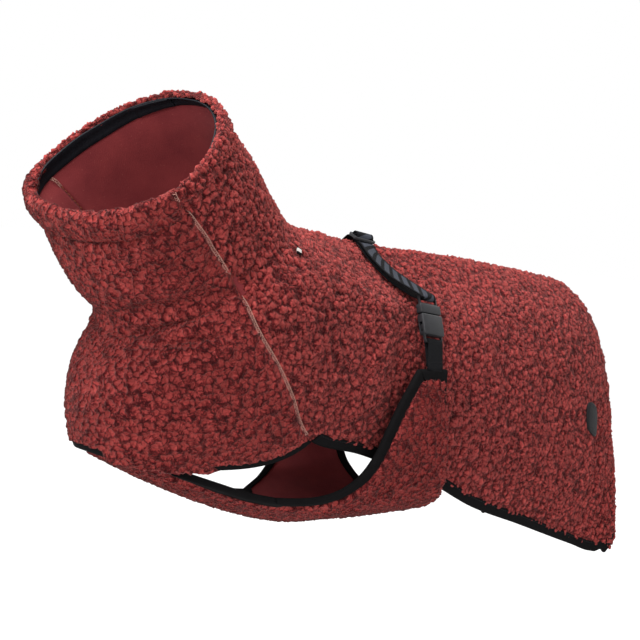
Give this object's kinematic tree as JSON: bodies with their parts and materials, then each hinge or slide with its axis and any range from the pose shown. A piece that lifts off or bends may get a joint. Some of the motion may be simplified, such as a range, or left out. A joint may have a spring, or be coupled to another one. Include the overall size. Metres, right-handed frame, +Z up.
{
  "type": "dog winter coat",
  "caption": "Dog's winter coat in curly teddy fleece: high collar, chest and back panels, belly sling, and a girth strap with a slider and a side-release buckle.",
  "frame": {"origin": "on the wearer's back, in the middle under the girth strap, 3 mm under the coat's inner face", "axes": "-Y towards the dog's head, +X to its left side, +Z up"},
  "size_m": [0.214, 0.7334, 0.448],
  "materials": {
    "teddy_fleece": "curly pile",
    "binding": "woven tape",
    "collar_tape": "satin tape",
    "webbing": "woven",
    "buckle_plastic": "moulded",
    "tag": "woven",
    "patch": "smooth film"
  },
  "bodies": {
    "root": {"back_panel": "teddy_fleece", "front_panel": "teddy_fleece", "belly_panel": "teddy_fleece", "back_hem_binding_left": "binding", "back_hem_binding_right": "binding", "back_hem_binding_rear": "binding", "chest_hem_binding": "binding", "belly_binding_front_left": "binding", "belly_binding_front_right": "binding", "belly_binding_rear": "binding", "belly_binding_tip_left": "binding", "belly_binding_tip_right": "binding", "collar_tape": "collar_tape", "strap_webbing": "webbing", "strap_tab": "webbing", "buckle_male": "buckle_plastic", "buckle_female": "buckle_plastic", "slider": "buckle_plastic", "nape_tag": "tag", "rear_patch": "patch"}
  },
  "joints": []
}
